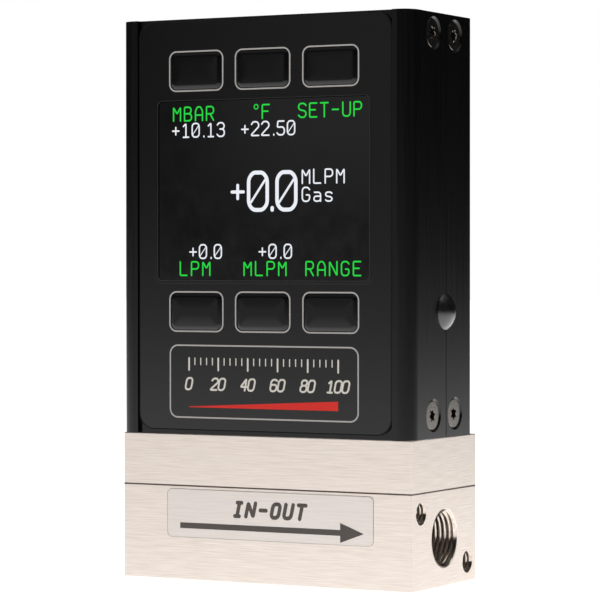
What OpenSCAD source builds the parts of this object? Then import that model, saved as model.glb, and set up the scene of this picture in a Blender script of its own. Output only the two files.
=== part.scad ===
/* [Base] */
// Width of the stainless base along the flow direction
base_w = 60.3; // [50:0.1:75]
// Depth of the base from front to back
base_d = 26.6; // [22:0.1:34]
// Height of the flow body, the lower of the two blocks
body_h = 17.5; // [14.5:0.1:22]
// Height of the cap block, the upper of the two blocks
cap_h = 9.6; // [7.9:0.1:12]
// Chamfer on the edges of both blocks
block_chamfer = 0.15; // [0.1:0.05:0.5]

/* [Ports] */
// Major radius of the pipe thread in both ports
port_r = 5.145; // [4.2:0.005:6.2]
// Depth of each threaded port
port_depth = 11; // [9:0.1:13.2]
// Chamfer at the mouth of each port
port_chamfer = 0.28; // [0.2:0.01:0.5]
// Radius of the two tapped holes beside each port
acc_r = 2.08; // [1.6:0.01:2.5]
// Depth of the tapped holes beside each port
acc_depth = 5.5; // [4:0.1:6.6]
// Distance of those holes from the front or back of the base
acc_edge_y = 3.7; // [3:0.05:4.5]
// Distance of those holes from the top or bottom of the flow body
acc_edge_z = 3.65; // [3:0.05:4.5]
// Radius of the four tapped mounting holes in the base
mount_r = 2.08; // [1.6:0.01:2.5]
// Depth of the mounting holes
mount_depth = 6; // [4.5:0.1:7.2]
// Distance of the mounting holes from the base's ends
mount_edge_x = 9.15; // [7.5:0.05:11]
// Distance of the mounting holes from the front or back
mount_edge_y = 3.4; // [2.8:0.05:4.1]

/* [Flow path] */
// Radius of the chamber that holds the laminar flow element
chamber_r = 4.1; // [3.5:0.05:4.9]
// Width of the shoulder that the element rests against
shoulder_w = 0.8; // [0.6:0.05:1.1]
// Room between the flow element and the floor of each port
end_room = 7.15; // [6:0.05:8.6]
// Clearance between the element and its chamber
element_clear = 0.05; // [0.03:0.01:0.1]
// Number of laminar channels round the element
flute_count = 16; // [8:1:24]
// Width of one laminar channel
flute_w = 0.35; // [0.2:0.05:0.6]
// Depth of one laminar channel
flute_d = 2.2; // [1.5:0.1:2.8]
// Thickness of the retaining ring
clip_t = 0.8; // [0.6:0.05:1.2]
// Depth of the ring's groove in the chamber wall
clip_depth = 0.4; // [0.3:0.05:0.6]
// Radial width of the retaining ring
clip_w = 1.2; // [0.9:0.1:1.6]
// Radius of the pressure tap drillings
tap_r = 0.6; // [0.4:0.05:0.9]
// Distance of each differential tap from the element's end
tap_inset = 3.36; // [2.5:0.05:4.2]
// Radius of the counterbore round each drilling
seal_pocket_r = 2.4; // [1.9:0.05:2.9]
// Depth of that counterbore
seal_depth = 1; // [0.8:0.05:1.3]

/* [Housing] */
// Width by which the housing passes the base at each end
house_over = 0.2; // [0.1:0.05:0.4]
// Height of the housing
house_h = 76.75; // [66:0.25:92]
// Width by which the front lips pass the front of the base
front_over = 0.8; // [0.5:0.05:1.2]
// Width of the step left on the cap block behind the housing
back_step = 2.65; // [2:0.05:3.4]
// Thickness of the side walls
side_wall = 2.5; // [2:0.1:3]
// Thickness of the front wall behind the overlay
front_wall = 2; // [1.6:0.1:2.4]
// Thickness of the back wall
back_wall = 2; // [1.6:0.1:2.4]
// Radius of the front upright edges
front_r = 2.8; // [2.2:0.1:3.4]
// Radius of the back upright edges
back_r = 0.4; // [0.2:0.1:1.2]
// Radius of the upright corners inside
inner_r = 1; // [0.6:0.1:1.5]
// Distance of the seam between the two shells behind the port axis
seam_y = 0.1; // [0:0.05:0.5]
// Chamfer along the seam
seam_chamfer = 0.3; // [0.2:0.05:0.5]
// Thickness of the tongue that locates the back shell
tongue_t = 0.9; // [0.7:0.05:1.1]
// Length of that tongue
tongue_len = 1.2; // [0.9:0.05:1.5]
// Width of the guide ribs inside the side walls
rib_w = 1.2; // [0.9:0.1:1.5]
// Height of those ribs from the wall
rib_h = 0.9; // [0.6:0.1:1.1]

/* [Overlay and window] */
// Width of the lip on each side of the overlay
lip_w = 3.8; // [3.5:0.05:4.6]
// Gap between the overlay and its recess
overlay_gap = 0.15; // [0.1:0.05:0.3]
// Thickness of the overlay
overlay_t = 0.5; // [0.4:0.05:0.7]
// Distance of the overlay's face behind the lips
overlay_drop = 0.3; // [0.2:0.05:0.5]
// Radius of the overlay's corners
overlay_r = 3.1; // [2.5:0.1:3.8]
// Distance of the overlay from the bottom of the housing
overlay_bottom = 0.75; // [0.5:0.05:1]
// Distance of the overlay from the top of the housing
overlay_top = 0.3; // [0.2:0.05:0.6]
// Distance from the overlay's side edge to the window
window_margin = 4.25; // [3.5:0.05:5.1]
// Distance from the key outlines to the window
window_gap = 1.94; // [1.6:0.02:2.3]
// Radius of the window's corners
window_r = 1; // [0.8:0.1:1.3]
// Thickness of the window
window_t = 1.2; // [1:0.1:1.4]
// Distance of the window's face behind the overlay's face
window_drop = 0.2; // [0.1:0.05:0.4]
// Width of the ledge that the window is bonded to
ledge_w = 1.6; // [1.2:0.1:2]

/* [Keys] */
// Distance from the overlay's side edge to the first key outline
key_margin = 6.675; // [5.5:0.025:8]
// Distance between neighbouring key outlines
key_gap = 2.7; // [2.2:0.05:3.3]
// Height of a key outline
key_h = 7.27; // [6:0.01:8.7]
// Corner radius of a key outline
key_r = 1.4; // [1.2:0.05:1.7]
// Distance from the top of the housing to the upper key row
key_top = 9.67; // [8:0.01:11.5]
// Distance from the bottom of the housing to the lower key row
key_bottom = 22.68; // [18.8:0.02:27]
// Distance of the key pad inside its outline
key_inset = 0.3; // [0.25:0.01:0.4]
// Clearance round the key pad
key_clear = 0.1; // [0.08:0.01:0.12]
// Height of the key pad above the overlay
key_rise = 0.4; // [0.36:0.01:0.5]
// Width of the key pad's bevel
key_bevel = 0.75; // [0.6:0.05:0.9]
// Travel of a key
key_travel = 0.35; // [0.28:0.01:0.42]
// Thickness of the flange that keeps the key in
key_flange_t = 0.8; // [0.6:0.05:1]
// Width of that flange round the pad
key_flange_w = 0.75; // [0.6:0.05:0.9]
// Radius of the key's plunger
plunger_r = 1.4; // [1.1:0.05:1.7]
// Radius of a snap dome
dome_r = 3; // [2.5:0.1:3.3]
// Height of a snap dome
dome_h = 0.35; // [0.28:0.01:0.42]
// Gap between the plunger and its dome beyond the travel
dome_gap = 0.1; // [0.05:0.01:0.15]

/* [Fasteners] */
// Thread radius of the side screws, the block screws and the frame screws
screw_r = 1.42; // [1.2:0.02:1.7]
// Length of the side screws
side_screw_len = 8; // [6.6:0.1:9.6]
// Head radius of the side screws
side_head_r = 2.58; // [2.2:0.02:2.9]
// Width of the countersink round the heads of the side screws
sink_margin = 0.42; // [0.3:0.02:0.5]
// Distance of the head's face inside the shell's face
side_head_drop = 0.25; // [0.15:0.05:0.3]
// Distance of the front side screws from the seam
side_front = 5; // [4.4:0.05:6]
// Distance of the back side screws from the seam
side_rear = 3.85; // [3.4:0.05:4.4]
// Distance of the side screws from the top of the housing
side_top = 3.75; // [3.2:0.05:4.5]
// Distance of the side screws from the bottom of the housing
side_bottom = 4.15; // [3.4:0.05:5]
// Head radius of the block screws
block_head_r = 2.55; // [2.1:0.05:3]
// Head height of the block screws
block_head_h = 2.8; // [2.3:0.1:3.4]
// Distance of the block screws from the ends of the base
block_screw_x = 11.3; // [9.4:0.1:13.4]
// Distance of the block screws from the front or back of the base
block_screw_y = 5.7; // [4.8:0.05:6.7]
// Depth of the block screws in the flow body
block_screw_in = 4.5; // [3.7:0.1:5.3]
// Depth of the frame screws in the cap block
frame_screw_in = 5; // [4:0.1:6]
// Head radius of the frame and board screws
small_head_r = 2.2; // [1.8:0.05:2.6]
// Head height of the frame and board screws
small_head_h = 1.5; // [1.2:0.05:1.8]
// Thread radius of the board screws
board_screw_r = 1.2; // [1:0.02:1.4]

/* [Electronics] */
// Thickness of the display panel
display_t = 3.2; // [2.7:0.05:3.7]
// Width by which the panel passes the window at each side
display_side = 2.2; // [1.8:0.05:2.6]
// Height of the display's metal frame tabs above the panel's back
display_tab = 1; // [0.8:0.1:1.2]
// Thickness of the circuit boards
board_t = 1.6; // [1.3:0.05:1.9]
// Gap between the main board and the side walls
board_gap = 0.45; // [0.3:0.05:0.6]
// Distance of the board screws from the board's top and bottom edges
board_hole = 3; // [2.6:0.1:3.6]
// Radius of the board standoffs
standoff_r = 2.1; // [1.8:0.05:2.5]
// Side of the processor
chip_w = 10; // [8:0.5:12]
// Thickness of the processor
chip_t = 1.4; // [1.1:0.1:1.7]
// Radius of the capacitors
cap_r = 2.5; // [2:0.1:3]
// Length of the capacitors
cap_len = 7; // [5.8:0.1:8]
// Length of the board header
header_l = 20; // [16:0.5:24]
// Height and depth of the board header
header_w = 2.5; // [2:0.1:3]

/* [Sensors] */
// Height of the sensors above the cap block
sensor_h = 7; // [5.8:0.1:8.4]
// Gap between neighbouring sensors
sensor_gap = 0.75; // [0.5:0.05:1]
// Gap between the differential pressure sensor and the probe's hexagon
probe_gap = 1.375; // [1:0.025:1.8]
// Gap between that sensor and the bottom frame's ring
ring_gap = 1.05; // [0.7:0.05:1.4]
// Radius of the temperature probe's needle
probe_r = 0.5; // [0.4:0.02:0.6]
// Across-corners radius of the temperature probe's hexagon
probe_hex_r = 3.2; // [2.7:0.1:3.8]
// Height of that hexagon
probe_hex_h = 3; // [2.5:0.1:3.6]
// Radius of the probe's body above the hexagon
probe_body_r = 1.8; // [1.5:0.1:2.1]
// Height of the bottom frame's ring
ring_h = 2; // [1.6:0.1:2.4]
// Width of the bottom frame's ring at front and back
ring_w = 2.5; // [2:0.1:3]

/* [Connectors] */
// Height of the power jack above the bottom of the housing
jack_z = 22.8; // [19:0.1:27]
// Radius of the barrel in the jack
barrel_r = 2.7; // [2.3:0.05:3.2]
// Width by which the hole in the shells passes the barrel all round
hole_step = 0.25; // [0.2:0.05:0.4]
// Width by which the dust plug's dome covers that hole all round
plug_lip = 0.35; // [0.3:0.05:0.6]
// Depth of that barrel
barrel_depth = 9.5; // [8:0.1:10.5]
// Length of the jack
jack_len = 12; // [11.3:0.1:14]
// Wall of the jack round its barrel
jack_wall = 1.9; // [1.5:0.05:2.2]
// Radius of the jack's centre pin
pin_r = 1; // [0.85:0.05:1.15]
// Gap between the jack and the side wall
jack_gap = 0.2; // [0.1:0.05:0.3]
// Height of the dome on the jack's dust plug
plug_h = 1.6; // [1.3:0.05:2]
// Clearance between the plug's stem and the barrel
plug_clear = 0.08; // [0.05:0.01:0.1]
// Depth of the plug's stem in the barrel
plug_in = 5; // [4:0.1:6]
// Wall of the plug's hollow stem
plug_wall = 1.1; // [0.9:0.05:1.15]
// Radius of the signal connector's neck as a share of the depth behind the main board
con_share = 0.356; // [0.3:0.002:0.37]
// Width of the flange under that neck
con_flange = 0.4; // [0.3:0.05:0.6]
// Wall of its plastic neck
con_neck_wall = 0.4; // [0.3:0.05:0.45]
// Thickness of its metal shield
shield_t = 0.25; // [0.2:0.05:0.3]
// Width of the slot round the contact insert
plug_slot = 0.7; // [0.6:0.05:0.85]
// Depth of the socket
socket_depth = 5; // [4.2:0.1:5.9]
// Radius of one contact
contact_r = 0.4; // [0.32:0.02:0.44]
// Radius of the ring of contacts, as a share of the insert's radius
contact_share = 0.65; // [0.6:0.01:0.7]
// Thickness of the top cap's plate
top_t = 2.5; // [2:0.1:3]

/* [Clearances] */
// Gap between the shells and the parts that close them
fit_gap = 0.1; // [0.05:0.01:0.15]
// Clearance of a threaded shank in its hole
thread_clear = 0.05; // [0.03:0.01:0.08]
// Clearance of a screw's shank or head in a plain hole
hole_clear = 0.1; // [0.06:0.01:0.15]
// Gap between boards and the parts next to them
part_gap = 0.3; // [0.2:0.05:0.4]
// Wall left above and below a side screw in the parts that hold it
screw_wall = 1.4; // [1.1:0.05:1.7]
// How far a cut runs past the face it opens
over = 0.5; // [0.3:0.1:0.6]

/* [Hidden] */
$fn = 48;

// Base: heights of the joints, and the flow path along X.
port_z = body_h / 2;
top_z = body_h + cap_h;
port_floor = base_w / 2 - port_depth;
element_half = port_floor - end_room;
element_len = 2 * element_half;
outlet_r = chamber_r - shoulder_w;
element_r = chamber_r - element_clear;
tap_x = element_half - tap_inset;
probe_x = (element_half + port_floor) / 2;
mount_x = base_w / 2 - mount_edge_x;
mount_y = base_d / 2 - mount_edge_y;
acc_y = base_d / 2 - acc_edge_y;
block_x = base_w / 2 - block_screw_x;
block_y = base_d / 2 - block_screw_y;
seal_tube_r = seal_depth / 2 - element_clear / 2;
seal_ring_r = seal_pocket_r - seal_tube_r - hole_clear;

// Housing: planes from front to back, and the space inside.
house_w = base_w + 2 * house_over;
house_front = base_d / 2 + front_over;
house_back = base_d / 2 - back_step;
half_w = house_w / 2;
inside_w = half_w - side_wall;
lip_y = -house_front;
face_y = lip_y + overlay_drop;
floor_y = face_y + overlay_t;
wall_y = floor_y + front_wall;
inside_y = house_back - back_wall;
house_top = top_z + house_h;
recess_half = half_w - lip_w;
overlay_half = recess_half - overlay_gap;
overlay_z0 = top_z + overlay_bottom;
overlay_z1 = house_top - overlay_top;

// Keys: three outlines share the width between the margins.
keys_w = 2 * (overlay_half - key_margin);
key_w = (keys_w - 2 * key_gap) / 3;
key_pitch = key_w + key_gap;
key_z1 = house_top - key_top;
key_z0 = top_z + key_bottom;
pad_w = key_w - 2 * key_inset;
pad_h = key_h - 2 * key_inset;
pad_r = key_r - key_inset;
flange_w = pad_w + 2 * key_flange_w;
flange_h = pad_h + 2 * key_flange_w;
flange_y = wall_y + key_flange_t;

// Window and display between the two key rows.
window_w = 2 * (overlay_half - window_margin);
window_z0 = key_z0 + key_h / 2 + window_gap;
window_z1 = key_z1 - key_h / 2 - window_gap;
window_h = window_z1 - window_z0;
window_z = (window_z0 + window_z1) / 2;
window_face = face_y + window_drop;
window_back = window_face + window_t;
display_w = window_w + 2 * display_side;
display_z0 = key_z0 + flange_h / 2 + part_gap;
display_z1 = key_z1 - flange_h / 2 - part_gap;

// Main board, its fixings and the two frames that hold the shells.
board_y = wall_y + display_t;
board_back = board_y + board_t;
dome_y = board_y - dome_h;
plunger_y = dome_y - key_travel - dome_gap;
frame_top = top_z + side_bottom + screw_r + screw_wall;
cap_low = house_top - side_top - screw_r - screw_wall;
board_w = 2 * (inside_w - board_gap);
board_z0 = frame_top + part_gap;
board_z1 = cap_low - part_gap;
standoff_x = (keys_w / 2 + inside_w) / 2;
hold_w = side_screw_len - side_wall + screw_wall;
hold_x = inside_w - fit_gap - hold_w;
sink_r = side_head_r + sink_margin;
side_front_y = seam_y - side_front;
side_rear_y = seam_y + side_rear;
side_z0 = top_z + side_bottom;
side_z1 = house_top - side_top;
frame_screw_x = inside_w - hold_w / 2;
frame_screw_y = (side_front_y + side_rear_y) / 2;

// Sensors on the cap block, and the board that lies on them.
sensor_top = top_z + sensor_h;
dp_half = probe_x - probe_hex_r - probe_gap;
ring_y = inside_y - fit_gap - ring_w;
dp_d = 2 * (ring_y - ring_gap);
pressure_r = min(probe_x - dp_half, ring_y) - sensor_gap;
sensor_board_w = 2 * (hold_x - sensor_gap);
sensor_board_y0 = board_back + part_gap;
sensor_board_y1 = inside_y - board_gap;

// Power jack on the seam, and the signal connector in the top cap.
jack_axis_z = top_z + jack_z;
jack_x1 = inside_w - jack_gap;
jack_hole_r = barrel_r + hole_step;
plug_r = jack_hole_r + plug_lip;
stem_r = barrel_r - plug_clear;
stem_x = jack_x1 - plug_in;
con_y = (board_back + inside_y) / 2;
con_neck_r = con_share * (inside_y - board_back);
cap_under = house_top - top_t;
con_r = con_neck_r + con_flange;
con_len = cap_under - board_z1 - part_gap;
socket_r = con_neck_r - con_neck_wall;
shield_r = socket_r - thread_clear;
insert_r = shield_r - shield_t - plug_slot;
contact_ring_r = contact_share * insert_r;

// Upper radius of the pressure sensor's can as a share of its lower one, and
// the places of the processor and the capacitors as shares of the board's width.
can_step_share = 0.9;
component_shares = [-0.3, 0.12];

// Shared shapes

// Rounded rectangle round the origin.
module rounded(w, h, r) {
    square([w - 2 * r, h], center = true);
    square([w, h - 2 * r], center = true);
    for (i = [-1, 1], j = [-1, 1])
        translate([i * (w / 2 - r), j * (h / 2 - r)]) circle(r = r);
}

// Flat shape (x, z) set upright from y to y + t.
module upright(y, t) {
    translate([0, y + t, 0]) rotate([90, 0, 0]) linear_extrude(height = t)
        children();
}

// Cylinder along +X from x.
module rod_x(x, len, r) {
    translate([x, 0, 0]) rotate([0, 90, 0]) cylinder(h = len, r = r);
}

// Cylinder along +Y from y.
module rod_y(y, len, r) {
    translate([0, y, 0]) rotate([-90, 0, 0]) cylinder(h = len, r = r);
}

// Rectangle with its corners cut at 45 degrees.
module cut_rect(w, h, c) {
    polygon([
        [-w / 2 + c, -h / 2], [w / 2 - c, -h / 2],
        [w / 2, -h / 2 + c], [w / 2, h / 2 - c],
        [w / 2 - c, h / 2], [-w / 2 + c, h / 2],
        [-w / 2, h / 2 - c], [-w / 2, -h / 2 + c]
    ]);
}

// Block standing on z = 0 with all its edges chamfered.
module chamfered(w, d, h, c) {
    intersection() {
        linear_extrude(height = h) cut_rect(w, d, c);
        translate([0, 0, h / 2]) upright(-d / 2, d) cut_rect(w, h, c);
        translate([-w / 2, 0, h / 2]) rotate([90, 0, 90])
            linear_extrude(height = w) cut_rect(d, h, c);
    }
}

// Half section of a shallow spherical cap standing on z = 0.
module cap_section(r, h) {
    ball = (r * r + h * h) / (2 * h);
    intersection() {
        translate([0, h - ball]) circle(r = ball, $fn = 360);
        square([r, h]);
    }
}

// Seal ring lying on z = 0.
module seal_ring() {
    translate([0, 0, seal_tube_r]) rotate_extrude()
        translate([seal_ring_r, 0]) circle(r = seal_tube_r);
}

// Screw pointing down from z = 0, with its head above.
module down_screw(r, len, head_r, head_h) {
    translate([0, 0, -len]) cylinder(h = len, r = r);
    cylinder(h = head_h, r = head_r);
}

// Places of drillings along the flow axis.
module at_taps(places) {
    for (x = places) translate([x, 0, 0]) children();
}

// The four places of the block screws.
module at_block_screws() {
    for (i = [-1, 1], j = [-1, 1])
        translate([i * block_x, j * block_y, 0]) children();
}

// Places of the side screws on both sides, pointing outwards.
module at_side_screws(rows, columns) {
    for (s = [0, 1]) mirror([s, 0, 0])
        for (z = rows, y = columns)
            translate([half_w, y, z]) children();
}

// Base

// One port with its mouth, on the +X end.
module port_cut() {
    translate([0, 0, port_z]) {
        rod_x(port_floor, port_depth + over, port_r);
        translate([base_w / 2 - port_chamfer, 0, 0]) rotate([0, 90, 0])
            cylinder(h = port_chamfer + over, r1 = port_r,
                     r2 = port_r + port_chamfer + over);
    }
}

module flow_body() color("lightgray") difference() {
    chamfered(base_w, base_d, body_h, block_chamfer);
    // Outlet and inlet ports with their accessory holes. Both ends have the
    // same layout seen from outside, so one is the other turned half round.
    for (turn = [0, 180]) rotate(turn) {
        port_cut();
        for (j = [-1, 1])
            translate([0, j * acc_y,
                       j < 0 ? body_h - acc_edge_z : acc_edge_z])
                rod_x(base_w / 2 - acc_depth, acc_depth + over, acc_r);
    }
    // Chamber of the flow element, its shoulder and its ring groove.
    translate([0, 0, port_z]) {
        rod_x(-port_floor - over, port_floor + over + element_half,
              chamber_r);
        rod_x(0, port_floor + over, outlet_r);
        rod_x(-element_half - clip_t, clip_t, chamber_r + clip_depth);
    }
    // Pressure taps and the probe's drilling, with their seal pockets.
    at_taps([-probe_x, -tap_x, tap_x, probe_x]) {
        translate([0, 0, port_z]) cylinder(h = body_h, r = tap_r);
        translate([0, 0, body_h - seal_depth])
            cylinder(h = seal_depth + over, r = seal_pocket_r);
    }
    // Threads of the block screws.
    at_block_screws() translate([0, 0, body_h - block_screw_in - over])
        cylinder(h = block_screw_in + 2 * over, r = screw_r + thread_clear);
    // Mounting holes in the underside.
    for (i = [-1, 1], j = [-1, 1])
        translate([i * mount_x, j * mount_y, -over])
            cylinder(h = mount_depth + over, r = mount_r);
}

module cap_block() color("lightgray") difference() {
    translate([0, 0, body_h])
        chamfered(base_w, base_d, cap_h, block_chamfer);
    at_taps([-probe_x, -tap_x, tap_x, probe_x]) {
        translate([0, 0, body_h - over])
            cylinder(h = cap_h + 2 * over, r = tap_r);
        translate([0, 0, top_z - seal_depth])
            cylinder(h = seal_depth + over, r = seal_pocket_r);
    }
    at_block_screws() {
        translate([0, 0, body_h - over])
            cylinder(h = cap_h + 2 * over, r = screw_r + hole_clear);
        translate([0, 0, top_z - block_head_h - hole_clear])
            cylinder(h = block_head_h + over, r = block_head_r + hole_clear);
    }
    for (i = [-1, 1])
        translate([i * frame_screw_x, frame_screw_y,
                   top_z - frame_screw_in - over])
            cylinder(h = frame_screw_in + 2 * over,
                     r = screw_r + thread_clear);
}

// Laminar element: a fluted core whose slots are the flow channels.
module flow_element() color("silver")
    translate([-element_half, 0, port_z]) rotate([90, 0, 90])
        linear_extrude(height = element_len) difference() {
            circle(r = element_r);
            for (i = [0 : flute_count - 1])
                rotate(i * 360 / flute_count)
                    translate([element_r - flute_d, -flute_w / 2])
                        square([flute_d + over, flute_w]);
        }

// Retaining ring, open at the bottom so that it springs into its groove.
module element_ring() color("dimgray")
    translate([-element_half - clip_t + thread_clear, 0, port_z])
        rotate([90, 0, 90])
            linear_extrude(height = clip_t - 2 * thread_clear) difference() {
                circle(r = chamber_r + clip_depth - thread_clear);
                circle(r = chamber_r + clip_depth - thread_clear - clip_w);
                translate([-clip_w / 2, -2 * chamber_r])
                    square([clip_w, 2 * chamber_r]);
            }

module tap_seals() color("black")
    at_taps([-probe_x, -tap_x, tap_x, probe_x])
        translate([0, 0, body_h - seal_depth]) seal_ring();

module block_screws() color("dimgray")
    at_block_screws() translate([0, 0, top_z - block_head_h - hole_clear])
        down_screw(screw_r,
                   cap_h - block_head_h - hole_clear + block_screw_in,
                   block_head_r, block_head_h);

// Sensors

module sensor_seals() color("black")
    at_taps([-probe_x, -tap_x, tap_x, probe_x])
        translate([0, 0, top_z - seal_depth]) seal_ring();

// Differential pressure sensor over the element's two taps.
module dp_sensor() color("dimgray") difference() {
    union() {
        translate([-dp_half, -dp_d / 2, top_z])
            cube([2 * dp_half, dp_d, sensor_h / 2]);
        translate([-dp_half / 2, -dp_d / 2, top_z])
            cube([dp_half, dp_d, sensor_h]);
    }
    at_taps([-tap_x, tap_x]) translate([0, 0, top_z - over])
        cylinder(h = sensor_h / 4 + over, r = tap_r);
}

// Absolute pressure sensor over the inlet tap.
module pressure_sensor() color("silver")
    translate([-probe_x, 0, top_z]) difference() {
        union() {
            cylinder(h = sensor_h / 2, r = pressure_r);
            cylinder(h = sensor_h, r = pressure_r * can_step_share);
        }
        translate([0, 0, -over]) cylinder(h = sensor_h / 4 + over, r = tap_r);
    }

// Temperature probe whose needle reaches into the stream.
module temperature_probe() color("goldenrod")
    translate([probe_x, 0, 0]) {
        translate([0, 0, port_z])
            cylinder(h = top_z - port_z, r = probe_r);
        translate([0, 0, top_z])
            cylinder(h = probe_hex_h, r = probe_hex_r, $fn = 6);
        translate([0, 0, top_z]) cylinder(h = sensor_h, r = probe_body_r);
    }

module sensor_board() color("darkgreen")
    translate([-sensor_board_w / 2, sensor_board_y0, sensor_top])
        cube([sensor_board_w, sensor_board_y1 - sensor_board_y0, board_t]);

// Right-angle header between the sensor board and the main board.
module board_header() color("black")
    translate([-header_l / 2, board_back, sensor_top + board_t])
        cube([header_l, header_w + part_gap, header_w]);

// Frames that hold the shells

// Outline of what closes the shells, inside their walls.
module inside_outline() {
    translate([0, (wall_y + inside_y) / 2])
        rounded(2 * (inside_w - fit_gap), inside_y - wall_y - 2 * fit_gap,
                inner_r);
}

// Slots for the guide ribs of the two shells.
module rib_slots(z, h) {
    for (s = [0, 1]) mirror([s, 0, 0])
        for (y = [seam_y - side_front / 2, seam_y + side_rear / 2])
            translate([inside_w - rib_h - fit_gap, y - rib_w / 2 - fit_gap,
                       z])
                cube([rib_h + side_wall, rib_w + 2 * fit_gap, h]);
}

module bottom_frame() color("gray") difference() {
    union() {
        translate([0, 0, top_z]) linear_extrude(height = ring_h)
            difference() {
                inside_outline();
                translate([-hold_x, wall_y + fit_gap + ring_w])
                    square([2 * hold_x,
                            inside_y - wall_y - 2 * fit_gap - 2 * ring_w]);
            }
        translate([0, 0, top_z])
            linear_extrude(height = frame_top - top_z) difference() {
                inside_outline();
                translate([-hold_x, wall_y])
                    square([2 * hold_x, inside_y - wall_y]);
            }
    }
    at_side_screws([side_z0], [side_front_y, side_rear_y])
        rod_x(-side_screw_len - side_head_drop - over,
              side_screw_len + side_head_drop + over,
              screw_r + thread_clear);
    for (i = [-1, 1])
        translate([i * frame_screw_x, frame_screw_y, top_z - over])
            cylinder(h = frame_top - top_z + 2 * over,
                     r = screw_r + hole_clear);
    rib_slots(top_z - over, frame_top - top_z + 2 * over);
}

module frame_screws() color("silver")
    for (i = [-1, 1])
        translate([i * frame_screw_x, frame_screw_y, frame_top])
            down_screw(screw_r, frame_top - top_z + frame_screw_in,
                       small_head_r, small_head_h);

module top_cap() color("dimgray") difference() {
    union() {
        translate([0, 0, cap_under]) linear_extrude(height = top_t)
            inside_outline();
        translate([0, 0, cap_low])
            linear_extrude(height = cap_under - cap_low + top_t / 2)
                difference() {
                    inside_outline();
                    translate([-hold_x, wall_y])
                        square([2 * hold_x, inside_y - wall_y]);
                }
    }
    at_side_screws([side_z1], [side_front_y, side_rear_y])
        rod_x(-side_screw_len - side_head_drop - over,
              side_screw_len + side_head_drop + over,
              screw_r + thread_clear);
    translate([0, con_y, cap_under - over])
        cylinder(h = top_t + 2 * over, r = con_neck_r + hole_clear);
    rib_slots(cap_low - over, house_top - cap_low + 2 * over);
}

// Housing shells

// Plan outline with two rounded corners on its low-Y side.
module rounded_side(w, y0, y1, r) {
    translate([-w / 2, y0 + r]) square([w, y1 - y0 - r]);
    translate([-w / 2 + r, y0]) square([w - 2 * r, y1 - y0]);
    for (i = [-1, 1]) translate([i * (w / 2 - r), y0 + r]) circle(r = r);
}

// Chamfer cut along the seam, on the outside of one wall.
module seam_cut() {
    for (i = [-1, 1])
        translate([i * half_w, seam_y]) rotate(45)
            square([seam_chamfer * sqrt(2), seam_chamfer * sqrt(2)],
                   center = true);
}

// Guide rib on the inside of both side walls.
module ribs(y) {
    for (i = [-1, 1])
        translate([i > 0 ? inside_w - rib_h : -inside_w - over,
                   y - rib_w / 2])
            square([rib_h + over, rib_w]);
}

// Extruded profile of the front shell, with the overlay's recess.
module front_profile() {
    difference() {
        rounded_side(house_w, lip_y, seam_y, front_r);
        rounded_side(2 * inside_w, wall_y, seam_y + over, inner_r);
        translate([-recess_half, lip_y - over])
            square([2 * recess_half, floor_y - lip_y + over]);
        translate([-inside_w - tongue_t - fit_gap / 2,
                   seam_y - tongue_len - fit_gap])
            square([2 * (inside_w + tongue_t) + fit_gap,
                    tongue_len + fit_gap + over]);
        seam_cut();
    }
    ribs(seam_y - side_front / 2);
}

// Extruded profile of the back shell, with the tongue at the seam.
module rear_profile() {
    difference() {
        mirror([0, 1]) rounded_side(house_w, -house_back, -seam_y, back_r);
        mirror([0, 1]) rounded_side(2 * inside_w, -inside_y,
                                    -seam_y + over, inner_r);
        seam_cut();
    }
    for (i = [-1, 1])
        translate([i > 0 ? inside_w : -inside_w - tongue_t,
                   seam_y - tongue_len])
            square([tongue_t, tongue_len + side_wall]);
    ribs(seam_y + side_rear / 2);
}

// Clearance hole and countersink of one side screw.
module side_screw_cut() {
    rod_x(-side_wall - rib_h - over, side_wall + rib_h + 2 * over,
          screw_r + hole_clear);
    translate([-sink_r + screw_r, 0, 0]) rotate([0, 90, 0])
        cylinder(h = sink_r - screw_r + over, r1 = screw_r,
                 r2 = sink_r + over);
}

// Hole for the power plug, shared by both shells, and the room that the
// jack takes out of the guide ribs.
module plug_hole() {
    half = barrel_r + jack_wall + part_gap;
    translate([0, seam_y, jack_axis_z]) {
        rod_x(inside_w - over, side_wall + 2 * over, jack_hole_r);
        translate([inside_w - rib_h - over, -half, -half])
            cube([rib_h + over, 2 * half, 2 * half]);
    }
}

// One printed key outline, moved in or out by an inset.
module key_outline(inset) {
    rounded(key_w - 2 * inset, key_h - 2 * inset, key_r - inset);
}

// The six places of the keys on the front.
module at_keys() {
    for (z = [key_z0, key_z1], i = [-1 : 1])
        translate([i * key_pitch, z]) children();
}

module front_shell() color("#1c1c1e") difference() {
    translate([0, 0, top_z]) linear_extrude(height = house_h)
        front_profile();
    // Seat of the window, with a bonding ledge round the inner opening.
    upright(floor_y - over, window_back - floor_y + over)
        translate([0, window_z])
            rounded(window_w + 2 * fit_gap, window_h + 2 * fit_gap,
                    window_r + fit_gap);
    upright(floor_y, front_wall + over)
        translate([0, window_z])
            rounded(window_w - 2 * ledge_w, window_h - 2 * ledge_w,
                    window_r);
    // Key openings.
    upright(floor_y - over, front_wall + 2 * over)
        at_keys() key_outline(key_inset - key_clear);
    at_side_screws([side_z0, side_z1], [side_front_y]) side_screw_cut();
    plug_hole();
}

module rear_shell() color("#1c1c1e") difference() {
    translate([0, 0, top_z]) linear_extrude(height = house_h)
        rear_profile();
    at_side_screws([side_z0, side_z1], [side_rear_y]) side_screw_cut();
    plug_hole();
}

// Flat-headed screws, sunk a little below the shells.
module side_screws() color("#303032")
    at_side_screws([side_z0, side_z1], [side_front_y, side_rear_y])
        translate([-side_head_drop, 0, 0]) {
            rod_x(-side_screw_len, side_screw_len, screw_r);
            translate([-side_head_r + screw_r, 0, 0]) rotate([0, 90, 0])
                cylinder(h = side_head_r - screw_r, r1 = screw_r,
                         r2 = side_head_r);
        }

// Front

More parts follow.
